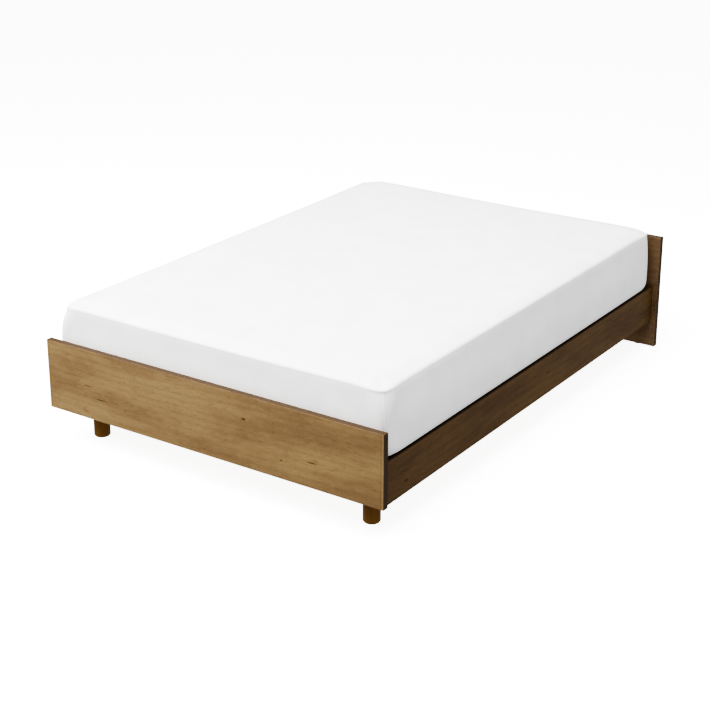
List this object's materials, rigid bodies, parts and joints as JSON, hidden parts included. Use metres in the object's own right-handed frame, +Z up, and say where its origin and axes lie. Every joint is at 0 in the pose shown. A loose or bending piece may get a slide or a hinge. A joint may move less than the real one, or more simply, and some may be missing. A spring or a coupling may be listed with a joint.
{
  "type": "wooden bed",
  "caption": "Low double bed: slab footboard on round legs, slab head panel down to the floor, side rails, slatted deck and a mattress in a white fitted sheet that lifts off.",
  "frame": {"origin": "on the floor under the middle of the bed", "axes": "+X across the bed to its right side as seen from the foot, +Y from the foot to the head, +Z up"},
  "size_m": [1.44, 2.08, 0.5133],
  "materials": {
    "oak_veneer_board": "satin",
    "oak_leg": "satin",
    "pine": "matte",
    "beech_dowel": "matte",
    "black_steel": "matte",
    "zinc_steel": "satin",
    "felt": "matte",
    "black_plastic": "matte",
    "woven_tape": "matte",
    "mattress_ticking": "matte",
    "cotton_sheet": "matte"
  },
  "bodies": {
    "frame": {"beam_hanger_foot": "black_steel", "beam_hanger_head": "black_steel", "bracket_screws": "zinc_steel", "centre_beam": "pine", "centre_leg_foot": "pine", "centre_leg_head": "pine", "corner_bolts": "zinc_steel", "corner_bracket_foot_left": "black_steel", "corner_bracket_foot_right": "black_steel", "corner_bracket_head_left": "black_steel", "corner_bracket_head_right": "black_steel", "corner_insert_nuts": "zinc_steel", "felt_pads": "felt", "footboard": "oak_veneer_board", "head_glides": "black_plastic", "head_panel": "oak_veneer_board", "ledger_left": "pine", "ledger_right": "pine", "ledger_screws": "zinc_steel", "leg_insert_nuts": "zinc_steel", "leg_left": "oak_leg", "leg_plate_screws": "zinc_steel", "leg_plates": "black_steel", "leg_rail": "pine", "leg_rail_bracket_left": "black_steel", "leg_rail_bracket_right": "black_steel", "leg_right": "oak_leg", "leg_studs": "zinc_steel", "levelling_inserts": "zinc_steel", "rail_dowels": "beech_dowel", "side_rail_left": "oak_veneer_board", "side_rail_right": "oak_veneer_board", "slat_01": "pine", "slat_02": "pine", "slat_03": "pine", "slat_04": "pine", "slat_05": "pine", "slat_06": "pine", "slat_07": "pine", "slat_08": "pine", "slat_09": "pine", "slat_10": "pine", "slat_11": "pine", "slat_12": "pine", "slat_13": "pine", "slat_14": "pine", "slat_screws": "zinc_steel", "webbing_left": "woven_tape", "webbing_right": "woven_tape", "webbing_staples": "zinc_steel"},
    "mattress": {"mattress": "mattress_ticking", "fitted_sheet": "cotton_sheet"},
    "levelling_foot_foot": {"levelling_base_foot": "black_plastic", "levelling_stud_foot": "zinc_steel"},
    "levelling_foot_head": {"levelling_base_head": "black_plastic", "levelling_stud_head": "zinc_steel"}
  },
  "joints": [
    {"name": "mattress_lift", "type": "slide", "parent": "frame", "child": "mattress", "axis": [0, 0, 1], "range_m": [0, 0.26]},
    {"name": "levelling_foot_end", "type": "slide", "parent": "frame", "child": "levelling_foot_foot", "axis": [0, 0, -1], "range_m": [0, 0.015]},
    {"name": "levelling_head_end", "type": "slide", "parent": "frame", "child": "levelling_foot_head", "axis": [0, 0, -1], "range_m": [0, 0.015]}
  ]
}
